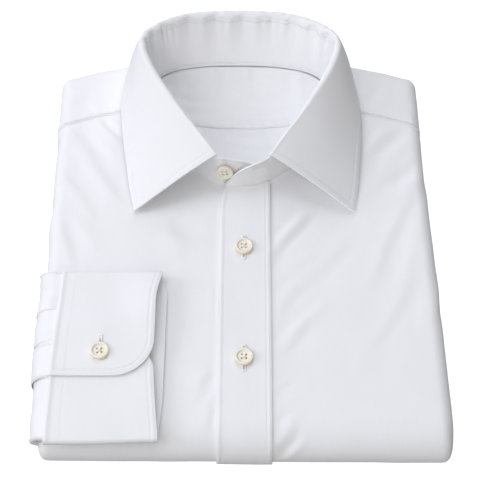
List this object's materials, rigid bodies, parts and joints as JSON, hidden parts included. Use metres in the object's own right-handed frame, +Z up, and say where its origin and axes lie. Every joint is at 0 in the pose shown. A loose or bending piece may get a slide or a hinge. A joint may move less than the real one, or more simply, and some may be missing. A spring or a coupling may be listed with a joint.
{
  "type": "folded dress shirt",
  "caption": "White long-sleeved dress shirt, buttoned and folded flat face up, with its collar standing and one cuff laid across the front.",
  "frame": {"origin": "on the surface it lies on, under the middle of its length and width", "axes": "+Z up, out of the front of the folded shirt; +Y from the hem fold towards the collar; +X towards the wearer's left"},
  "size_m": [0.2553, 0.332, 0.0604],
  "materials": {
    "hidden_layers": "white cotton poplin, matt",
    "front_right": "white cotton poplin, matt",
    "front_left": "white cotton poplin, matt",
    "placket": "white cotton poplin, matt",
    "yoke": "white cotton poplin, matt",
    "yoke_inner": "white cotton poplin, matt",
    "back": "white cotton poplin, matt",
    "collar_stand": "white cotton poplin, matt",
    "collar_leaf": "white cotton poplin, matt",
    "sleeve": "white cotton poplin, matt",
    "sleeve_placket": "white cotton poplin, matt",
    "cuff": "white cotton poplin, matt",
    "front_button_1": "ivory pearl, polished",
    "front_button_2": "ivory pearl, polished",
    "cuff_button": "ivory pearl, polished",
    "collar_button": "ivory pearl, polished"
  },
  "bodies": {
    "root": {"hidden_layers": "hidden_layers", "front_right": "front_right", "front_left": "front_left", "placket": "placket", "yoke": "yoke", "yoke_inner": "yoke_inner", "back": "back", "collar_stand": "collar_stand", "collar_leaf": "collar_leaf", "sleeve": "sleeve", "sleeve_placket": "sleeve_placket", "cuff": "cuff", "front_button_1": "front_button_1", "front_button_2": "front_button_2", "cuff_button": "cuff_button", "collar_button": "collar_button"}
  },
  "joints": []
}
